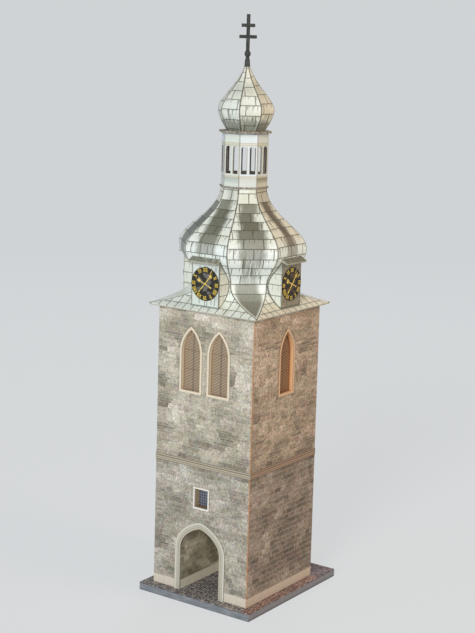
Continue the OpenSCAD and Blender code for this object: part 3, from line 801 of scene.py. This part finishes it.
def corner_half(point):
    """Half the width of a corner gore, which runs to a point at the eaves."""
    r, z = point
    if z >= NECK[1]:
        return OCT * r
    return max(TIP_HALF, OCT * r * sin(radians(90 * (z - EAVES[1]) / (NECK[1] - EAVES[1]))))


def arc_from_top(line):
    """Distance of each point from the line's top, along it."""
    lengths = [0]
    for lower, upper in zip(line[-2::-1], line[:0:-1]):
        lengths.append(lengths[-1] + (upper - lower).length)
    return lengths[::-1]


def line_normals(line):
    """Outward unit normals as (out, up)."""
    runs = [after - before for before, after in zip(line[:1] + line, line[1:] + line[-1:])]
    return [Vector((run.y, -run.x)).normalized() for run in runs]


def facing(azimuth):
    """Flat unit vectors outward and to the right of a side: azimuth 0 is the front, 90 the right."""
    a = radians(azimuth)
    return Vector((sin(a), -cos(a))), Vector((cos(a), sin(a)))


def to_frame(flat, z):
    """A point of the tower's own frame, in the row frame and in metres."""
    return Vector((flat[0], flat[1] + AXIS_Y, z + GROUND_Z)) * MM


def placed(name, data):
    """A new object of the scene."""
    made = bpy.data.objects.new(name, data)
    SCENE.collection.objects.link(made)
    return made


def mesh_piece(name, vertices, faces, material, replaced=None, smooth_angle=None):
    """A mesh object on the root body."""
    mesh = bpy.data.meshes.new(name)
    mesh.from_pydata([tuple(v) for v in vertices], [], faces)
    mesh.validate()
    mesh.materials.append(material)
    if smooth_angle is not None:
        mesh.shade_smooth()
        mesh.set_sharp_from_angle(angle=radians(smooth_angle))
    piece = placed(name, mesh)
    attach(piece, "root")
    if replaced:
        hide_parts(replaced)
    return piece


def gore_piece(name, line, halves, azimuth, lift, material, node):
    """A card gore: flat across, bent along the line, its thickness turned inward."""
    out, right = facing(azimuth)
    rows = list(zip(line, halves, arc_from_top(line), line_normals(line)))
    vertices = []
    sheet = []
    for layer in (0, 1):
        for point, half, arc, normal in rows:
            r, z = point - normal * (CARD * layer)
            side = max(half - 0.2 * layer, 0.05)
            for j in range(LATERAL + 1):
                share = 2 * j / LATERAL - 1
                vertices.append(to_frame(out * r + right * (side * share), z + lift))
                sheet.append((half * share, arc, half))
    width = LATERAL + 1
    inner = len(rows) * width
    last = inner - width
    faces = []
    for i in range(0, last, width):
        for a0 in range(i, i + LATERAL):
            a1, b0, b1 = a0 + 1, a0 + width, a0 + width + 1
            faces.append((a0, a1, b1, b0))
            faces.append((inner + a1, inner + a0, inner + b0, inner + b1))
    for i in range(0, last, width):
        for a0, turn in ((i, -1), (i + LATERAL, 1)):
            faces.append((a0, inner + a0, inner + a0 + width, a0 + width)[::turn])
    for j in range(LATERAL):
        faces.append((j + 1, j, inner + j, inner + j + 1))
        faces.append((last + j, last + j + 1, inner + last + j + 1, inner + last + j))
    piece = mesh_piece(name, vertices, faces, material, node, 35)
    field = piece.data.attributes.new("sheet", "FLOAT_VECTOR", "POINT")
    for i, value in enumerate(sheet):
        field.data[i].vector = value


def build_roofs():
    """The main roof's eight gores, and the onion's."""
    corner_halves = [corner_half(p) for p in DOME]
    side_halves = [p.x - sqrt(2) * half for p, half in zip(DOME, corner_halves)]
    corner = [Vector((sqrt(2) * p.x - half, p.y)) for p, half in zip(DOME, corner_halves)]
    front = metal_print(
        "roof_front", 0.8, 0.8, row_stains(FRONT_ROWS, 31, 39), SHEET_WHITE, (112, 114, 98), skirt_from=57.9
    )
    flank = metal_print(
        "roof_flank", 1.8, -1, row_stains(FLANK_ROWS, 31, 39), FLANK_SHADE_WHITE, (116, 103, 83), skirt_from=57.9
    )
    edge, worn_and_shaded = (
        metal_print(name, 2.44, 0.6, row_stains(rows, 39, 53), SHEET_WHITE, stain, plain_from=62.9)
        for name, rows, stain in (
            ("roof_corner", CORNER_ROWS, (112, 111, 96)),
            ("roof_corner_stained_and_shaded", STAIN_AND_SHADE_ROWS, (104, 110, 106)),
        )
    )
    for k, side in enumerate(SIDES):
        look = (front, flank)[k % 2]
        gore_piece(f"{side}_roof_sheet", DOME, side_halves, 90 * k, 0, look, f"{side}_gore")
    for k, side in enumerate(("front_right", "back_right", "back_left", "front_left")):
        # the front-left gore has stains with painted shade
        look = worn_and_shaded if side == "front_left" else edge
        gore_piece(f"{side}_roof_sheet", corner, corner_halves, 90 * k + 45, 0, look, f"{side}_gore")
    onion_kinds = (
        (3, -1.2, 30.2, 26.5, SHEET_WHITE),
        (0.75, -2.4, 29.9, 27, SHEET_WHITE),
        (5.2, 1.5, 30.2, 27, FLANK_SHADE_WHITE),
        (4.1, 0.4, 30.6, 26.5, SHEET_WHITE),
    )
    looks = []
    for k, (phase, joint_at, damp, streak, white) in enumerate(onion_kinds):
        stains = onion_stains(damp, streak)
        looks.append(metal_print(f"onion_{k}", phase, joint_at, stains, white, ONION_STAIN, drips_from=15))
    halves = [OCT * p.x for p in ONION]
    for k in range(8):
        name = f"onion_sheet_{k}"
        gore_piece(name, ONION, halves, 45 * k, ONION_Z, looks[k % 4], "upper_onion")


# ---- clocks

DIAL_Z = 163.4
DIAL_FACE = 31.5
NUMERALS = ("XII", "I", "II", "III", "IIII", "V", "VI", "VII", "VIII", "IX", "X", "XI")
NUMERAL_H = 1.75
NUMERAL_RING = 7.15
THICK, THIN, SERIF = 0.36, 0.22, 0.18
# Width of a letter, and its strokes from (x, y) to (x, y), 1 being its edges
LETTERS = {
    "I": (0.7, ((0, -1, 0, 1, THICK),)),
    "V": (1.4, ((-1, 1, 0, -1, THICK), (1, 1, 0, -1, THIN))),
    "X": (1.4, ((-1, 1, 1, -1, THICK), (1, 1, -1, -1, THIN))),
}


def box_print():
    """Clock box: face with grey drips, darker olive on the flanks as painted shade, cheeks with seams."""
    t = Tree("clock_box")
    _, _, z = t.place()
    across = t.across()
    out = across.abs()
    flank = t.flank()
    streak = t.noise((across * 1.5, 0, z * 0.12), 1.5, 3, 0.6)
    mottle = t.noise((across * 1.4, z * 0.5, 3), 1.6, 3, 0.6)
    t.colour = t.mix(streak.rise(0.5, 0.75) * 0.3, (226, 235, 228), (186, 196, 188))
    # painted shade: the flank faces are darker olive
    t.lay(flank, t.ramp(mottle, ((0.35, (132, 124, 104)), (0.65, (176, 168, 148)))))
    place = across / 1.5 + 3
    middle, chance, _ = t.cells(place, 1)
    beside = (place - middle).abs() * 1.5
    dial_foot = DIAL_Z - (74 - across * across).most(0).op("SQRT")
    hang = (dial_foot.least(159.5) - z).most((172.6 - z) * z.rise(169, 169.5))
    run = beside.rise(0.45, 0.12) * (chance * 5.2 - hang).rise(-0.3, 1.2) * hang.rise(0.02, 0.2)
    t.lay(run * chance.rise(0.1, 0.4) * 0.66, (104, 112, 108))
    t.lay(out.rise(7.8, 8.4).most(z.rise(152.5, 151.9)) * 0.85, (104, 108, 96))
    course = (z - 152.3) / 5.6
    slot = (out - 24) / 3.4 + (course.floor() * 0.5).fract()
    joint = slot.off_half().rise(0.44, 0.475) * course.fract().rise(0.35, 0.6)
    seam = course.off_half().rise(0.44, 0.475).most(joint * 0.8)
    roof_r = t.curve(((z - 150) / 30).clamped(), cheek_curve()) * 40
    edge = out.rise(30.2, 31) * (flank.flipped() * 0.45 + 0.35)
    rim = (out - roof_r).rise(1.2, 0.45).most(edge)
    side = t.mix(z.rise(168, 174) * 0.75, (226, 230, 220), (122, 124, 108))
    side = t.mix(seam * 0.75, side, (100, 100, 82))
    side = t.mix(rim * 0.8, side, (84, 82, 66))
    cheek = out.rise(12, 13)
    t.lay(cheek, side)
    return t.printed(0.1, 0.55, seam * cheek * -0.04)


def cheek_curve():
    """The roof's distance from the axis between heights 150 and 180, both scaled to 0 to 1."""
    made = []
    for k in range(17):
        z = 150 + 30 * k / 16
        for low, high in zip(DOME, DOME[1:]):
            if low.y <= z <= high.y:
                share = (z - low.y) / max(high.y - low.y, 1e-6)
                made.append((k / 16, (low.x + (high.x - low.x) * share) / 40))
                break
    return made


def hood_print():
    """Mottled hood with a paler lip, painted shade on its under-edge, and darker, browner flank hoods as
    painted shade.
    """
    t = Tree("clock_hood")
    _, _, nz = t.normal()
    mottle = t.noise(t.at(), 1.6, 3, 0.6)
    t.colour = t.ramp(mottle, ((0.3, (104, 106, 92)), (0.5, (140, 143, 128)), (0.7, (176, 178, 162))))
    # painted shade: the flank hoods are darker and browner
    t.lay(t.flank() * 0.45, (104, 92, 74))
    t.lay(nz.abs().rise(0.5, 0.2) * 0.6, (196, 194, 174))
    # painted shade on the downward faces
    t.lay(nz.rise(-0.2, -0.6) * 0.7, (86, 82, 68))
    return t.printed(0.2, 0.65)


def dial_print():
    """Black dial with mottled grey clouds in its middle, warmer and darker on the flanks as painted shade.
    """
    t = Tree("clock_dial")
    _, _, z = t.place()
    across = t.across()
    cloud = t.noise((across, z, 9), 3.2)
    grey = cloud.rise(0.49, 0.57) * length(across, z - DIAL_Z).rise(6.2, 5.4)
    t.colour = t.mix(grey, (44, 42, 36), (112, 109, 106))
    # painted shade: the flank dials are warmer and darker
    t.lay(t.flank(), (214, 172, 134), "MULTIPLY")
    return t.printed(0.3, 0.5)


def gold_print(name, light):
    """Uneven glossy print of a light colour."""
    t = Tree(name)
    tone = t.noise(t.at(), 0.9)
    t.colour = t.ramp(tone, ((0.3, tuple(c * 0.74 for c in light)), (0.62, light)))
    return t.surface(tone * 0.2 + 0.35, tone * 0.02, specular=0.5)


def stroke(from_point, to_point, width):
    """Corners of a straight flat stroke."""
    a, b = Vector(from_point), Vector(to_point)
    side = Vector((b.y - a.y, a.x - b.x)).normalized() * width / 2
    return [a - side, b - side, b + side, a + side]


def numeral_quads():
    """Strokes and serifs of the numerals, feet towards the dial's centre."""
    quads = []
    top = NUMERAL_H / 2
    for hour, text in enumerate(NUMERALS):
        end = sum(LETTERS[c][0] for c in text) / 2
        x = -end
        strokes = []
        for width, marks in (LETTERS[c] for c in text):
            middle, half = x + width / 2, width / 2 - 0.14
            for x0, y0, x1, y1, pen in marks:
                strokes.append(stroke((middle + x0 * half, y0 * top), (middle + x1 * half, y1 * top), pen))
            x += width
        strokes += [stroke((-end, level), (end, level), SERIF) for level in (-top, top)]
        turn = Matrix.Rotation(-radians(30 * hour), 2)
        quads += [[turn @ (p + Vector((0, NUMERAL_RING))) for p in corners] for corners in strokes]
    return quads


def raised_quads(name, quads, azimuths, face, level, rise, material):
    """One piece of flat strokes, raised a little from faces at a distance from the axis."""
    vertices, faces = [], []
    for azimuth in azimuths:
        out, right = facing(azimuth)
        for quad in quads:
            first = len(vertices)
            top = first + 4
            for depth in (0, rise):
                for p in quad:
                    vertices.append(to_frame(out * (face + depth) + right * p.x, level + p.y))
            faces.append(tuple(range(top, top + 4)))
            for i in range(4):
                j = (i + 1) % 4
                faces.append((first + i, first + j, top + j, top + i))
    mesh_piece(name, vertices, faces, material)


def build_numerals(material):
    """Thin gold numerals on the four dials."""
    sides = range(0, 360, 90)
    raised_quads("dial_numerals", numeral_quads(), sides, DIAL_FACE, DIAL_Z, 0.05, material)


def build_grilles(material):
    """Light bars over the dark panes of the small windows."""
    middle, half_w, half_h, pitch, bar = 51.2, 4.2, 4.9, 1.4, 0.3
    quads = [stroke((x * pitch, middle - half_h), (x * pitch, middle + half_h), bar) for x in range(-2, 3)]
    for k in range(-3, 4):
        quads.append(stroke((-half_w, middle + k * pitch), (half_w, middle + k * pitch), bar))
    raised_quads("window_bars", quads, (0, 180), HALF_WALL - 4, 0, 0.12, material)


# ---- lantern, finial and cross

FINIAL_Z = 272.2
CONE_H = 5.05
BEAD_W, BEAD_H = 3.2, 4
BEAD_Z = FINIAL_Z + CONE_H + BEAD_H / 2 - 0.4
CROSS_Z = BEAD_Z + BEAD_H / 2 - 0.2
CROSS_T, CROSS_H = 1.45, 18.2
BARS = ((10.2, 0.325), (7.7, 0.641))
BAR_H = 1.75
TURNS = 40


def lantern_print():
    """White lantern with moulding lines and brown edges; its corner faces tinted bluish as painted light,
    and painted shade below the openings, under the cornice and on the inside.
    """
    t = Tree("lantern_card")
    x, y, z = t.place()
    nx, ny, nz = t.normal()
    across = t.across()
    t.colour = t.mix(t.noise((across, z * 0.3, 0), 3), (224, 232, 224), (230, 236, 228))
    turned = nx.abs() - ny.abs()
    flank = turned.rise(-0.2, 0.2)
    square_on = turned.abs().rise(0.1, 0.5)
    # painted light: the corner faces are tinted a bluish white
    t.lay(square_on.flipped() * 0.8, (230, 242, 250))
    # painted shade on the band below the openings, deepening up to the moulding, warmer and stronger on the
    # flanks
    band = z.inside(211.2, 216.2, 0.3)
    t.lay(band * flank * 0.5, (216, 206, 172))
    amount = square_on * (flank * 0.2 + 0.55) + 0.18
    t.lay(band * z.rise(212, 215.6) * amount, t.mix(flank, (176, 188, 180), (156, 150, 130)))
    # painted shade under the cornice
    t.lay(z.rise(236, 238.2) * 0.35, (170, 182, 188))
    for level, half in ((233.8, 0.16), (232.6, 0.2), (216.9, 0.16), (216.1, 0.16)):
        t.lay(z.inside(level - half, level + half, 0.12) * 0.5, (170, 158, 118))
    cream = z.inside(232.6, 233.8, 0.2).most(z.inside(216.1, 216.9, 0.2))
    t.lay(cream * 0.45, (206, 198, 160))
    t.lay(across.abs().rise(4.2, 4.55) * 0.62, (126, 102, 78))
    rim = (across.abs() - 2.2).abs().inside(1.35, 1.85, 0.15) * z.inside(218, 232.4, 0.2)
    t.lay(rim * 0.3, (160, 150, 128))
    t.lay(z.rise(237.6, 238.6) * 0.5, (160, 164, 154))
    # painted shade: the inward faces are dark
    inward = (x * nx + y * ny).rise(0.5, -0.5) * nz.abs().rise(0.6, 0.4)
    t.lay(inward * 0.85, (70, 56, 48))
    return t.printed(0.08, 0.6)


def plate_print():
    """Rough plates under and over the lantern, with painted shade on the sill inside the lantern."""
    t = Tree("lantern_plates")
    x, y, z = t.place()
    mottle = t.noise(t.at(), 1.1, 3, 0.65)
    t.colour = t.ramp(mottle, ((0.32, (92, 82, 72)), (0.5, (146, 138, 126)), (0.68, (196, 192, 180))))
    # painted shade on the sill inside the lantern
    t.lay(length(x, y).rise(10.9, 10.3) * z.inside(211, 214, 0.3) * 0.85, (36, 30, 30))
    return t.printed(0.3, 0.75, mottle * 0.05)


def dark_paint():
    """Dark green-grey paint, rubbed brown in places."""
    t = Tree("dark_paint")
    mottle = t.noise(t.at(), 1.3, 3, 0.6)
    t.colour = t.ramp(mottle, ((0.3, (34, 38, 36)), (0.55, (56, 60, 56)), (0.72, (98, 86, 78))))
    return t.surface(mottle * 0.3 + 0.35, mottle * 0.08, specular=0.4)


def card_white():
    """Plain white card, a little uneven."""
    t = Tree("plain_card")
    t.colour = (196, 194, 182)
    return t.printed(0.06, 0.75)


def build_finial(material):
    """Cone and bead turned as one smooth piece."""
    profile = [(r, FINIAL_Z + up) for r, up in ((1.5, 0), (1.42, 1.4), (1.32, 3), (0.88, CONE_H - 0.2))]
    steps = 14
    for i in range(1, steps + 1):
        a = radians(-90 + 180 * i / steps)
        r, z = BEAD_W / 2 * cos(a), BEAD_Z + BEAD_H / 2 * sin(a)
        if z > profile[-1][1]:
            profile.append((max(r, 0.05), z))
    vertices, faces = [], []
    for r, z in profile:
        for k in range(TURNS):
            a = 2 * pi * k / TURNS
            vertices.append(to_frame((r * cos(a), r * sin(a)), z))
    last = len(vertices) - TURNS
    for i in range(0, last, TURNS):
        for k in range(TURNS):
            n = (k + 1) % TURNS
            faces.append((i + k, i + n, i + TURNS + n, i + TURNS + k))
    faces.append(tuple(range(TURNS))[::-1])
    faces.append(tuple(range(last, last + TURNS)))
    mesh_piece("painted_finial", vertices, faces, material, "finial", 60)


def cross_outline():
    """Right half of the cross's outline, from its foot up."""
    half = CROSS_T / 2
    points = [(half, 0)]
    for span, share in BARS:
        z = share * CROSS_H
        points += [(half, z), (span / 2, z), (span / 2, z + BAR_H), (half, z + BAR_H)]
    points.append((half, CROSS_H))
    return points


def build_cross(material):
    """Patriarchal cross of square stock with softened edges."""
    right = cross_outline()
    ring = right + [(-x, z) for x, z in right[::-1]]
    count = len(ring)
    vertices = [to_frame((x, y), CROSS_Z + z) for y in (-CROSS_T / 2, CROSS_T / 2) for x, z in ring]
    faces = [tuple(range(count)), tuple(range(count, 2 * count))[::-1]]
    faces += [(i, i + count, (i + 1) % count + count, (i + 1) % count) for i in range(count)]
    piece = mesh_piece("painted_cross", vertices, faces, material, "cross")
    soften = piece.modifiers.new("soften", "BEVEL")
    soften.width = 0.18 * MM
    soften.segments = 2


# ---- stage, light and camera

CENTRE = Vector((0, 0, (CAD_BOX[0].z + CAD_BOX[1].z) / 2))
PALE = (208, 211, 213)
FLOOR_REACH = 4


def toward(azimuth, elevation):
    """Unit vector towards an azimuth and an elevation."""
    e = radians(elevation)
    out = facing(azimuth)[0] * cos(e)
    return Vector((out.x, out.y, sin(e)))


def lamp(name, at, aim, size, watts, colour):
    """Soft square lamp at a point, aimed at another."""
    data = bpy.data.lights.new(name, "AREA")
    data.shape = "SQUARE"
    data.size = size
    data.energy = watts
    data.color = colour
    made = placed(name, data)
    made.location = at
    made.rotation_mode = "QUATERNION"
    made.rotation_quaternion = (at - aim).to_track_quat("Z", "Y")
    made.visible_camera = False


def show_pale(t, lit, share, colour):
    """Shows a surface as pale to the camera and in reflections, and leaves its light as it is."""
    path = t.node("LightPath").outputs
    seen = Num(t, path["Is Camera Ray"])
    for other in ("Is Glossy Ray", "Is Transmission Ray"):
        seen = seen.most(Num(t, path[other]))
    pale = t.node("Emission", {"Color": colour}).outputs[0]
    return t.node("MixShader", {0: seen * share, 1: lit, 2: pale}).outputs[0]


def build_stage():
    """Pale floor, pale surround and soft light."""
    mesh = bpy.data.meshes.new("floor")
    square = ((-1, -1), (1, -1), (1, 1), (-1, 1))
    corners = [(x * FLOOR_REACH, y * FLOOR_REACH, CAD_BOX[0].z - 0.0001) for x, y in square]
    mesh.from_pydata(corners, [], [(0, 1, 2, 3)])
    floor = placed("floor", mesh)
    t = Tree("floor")
    cloud = t.noise(t.node("TexCoord").outputs["Object"], 0.4)
    t.colour = t.ramp(cloud, ((0.3, (222, 224, 226)), (0.7, (228, 230, 232))))
    x, y, _ = t.place()
    far = length(x, y).rise(250, 1300)
    seen = show_pale(t, t.shader(0.9, specular=0.1), far * 0.28 + 0.72, t.mix(far, (226, 229, 231), PALE))
    t.node("OutputMaterial", {"Surface": seen})
    mesh.materials.append(t.owner)

    world = bpy.data.worlds.new("surround")
    SCENE.world = world
    t = Tree(world)
    soft = t.node("Background", {"Strength": 0.25})
    soft.inputs["Color"].default_value = (0.94, 0.98, 1, 1)
    t.node("OutputWorld", {"Surface": show_pale(t, soft.outputs[0], 1, PALE)})

    lamp("key", CENTRE + toward(15, 20) * 3.4, CENTRE, 1.1, 70, (1, 1, 0.99))
    lamp("fill", CENTRE + toward(205, 16) * 3, CENTRE, 1.2, 20, (1, 1, 0.99))
    lamp("side", Vector((0.46, 0.06, 0.38)), CENTRE + Vector((0, 0, 0.06)), 0.16, 0.72, (1, 0.7, 0.4))


def build_camera():
    """Camera on the model, with the crop as lens shift."""
    yaw, pitch, roll = (radians(a) for a in (34.42, 7.28, 1.72))
    turn = Matrix.Rotation(yaw, 4, "Z") @ Matrix.Rotation(pi / 2 - pitch, 4, "X")
    turn = turn @ Matrix.Rotation(roll, 4, "Z")
    data = bpy.data.cameras.new("camera")
    data.sensor_width = 36
    data.lens = 82.47
    data.shift_x = -0.0385
    data.shift_y = -0.146
    camera = placed("camera", data)
    camera.matrix_world = Matrix.Translation((0.4297, -0.61495, 0.2906)) @ turn
    SCENE.camera = camera


# ---- putting it together

dress_walls()
dress(string_print(), "string_course")
dress(surround_print(), "front_arch_surround", "back_arch_surround")
dress(passage_print(), "passage_left_wall", "passage_right_wall", "passage_vault")
dress(sett_print(), "cobbled_sheet")
dress(board_material(), "base_board")
white_faces = ((246, 244, 236),) * 2
tan_reveals = ((196, 178, 148),) * 2
white_trim = trim_print("white_trim", white_faces, tan_reveals, (170, 140, 100), depth=4, fade=0.6)
dress(white_trim, "small_window_frames")
dress(pane_print(), "small_window_grilles")
# Flank face darker and warmer: painted shade of the sides; front reveal lighter than its face: painted light
# in the reveal.
cream_faces = (238, 226, 203), (232, 194, 156)
cream_reveals = (255, 236, 200), (236, 176, 120)
cream_trim = trim_print("cream_trim", cream_faces, cream_reveals, (172, 114, 70), depth=2.2, fade=1.5)
dress(cream_trim, "lancet_frames")
dress(louvre_print(), "louvre_panels")
dress(card_white(), "roof_deck")
dress(box_print(), *[f"{side}_clock_box" for side in SIDES])
dress(hood_print(), "clock_hoods")
dress(dial_print(), "clock_dials")
dress(gold_print("gold_hands", (255, 228, 122)), "hour_hands", "minute_hands")
dress(lantern_print(), "lantern_walls")
dress(plate_print(), "lantern_sill", "lantern_cornice")
paint = dark_paint()

build_roofs()
build_numerals(gold_print("gold_numerals", (252, 220, 96)))
build_grilles(gold_print("window_bars", (166, 172, 184)))
build_finial(paint)
build_cross(paint)
build_stage()
build_camera()
SCENE.view_settings.view_transform = "Standard"
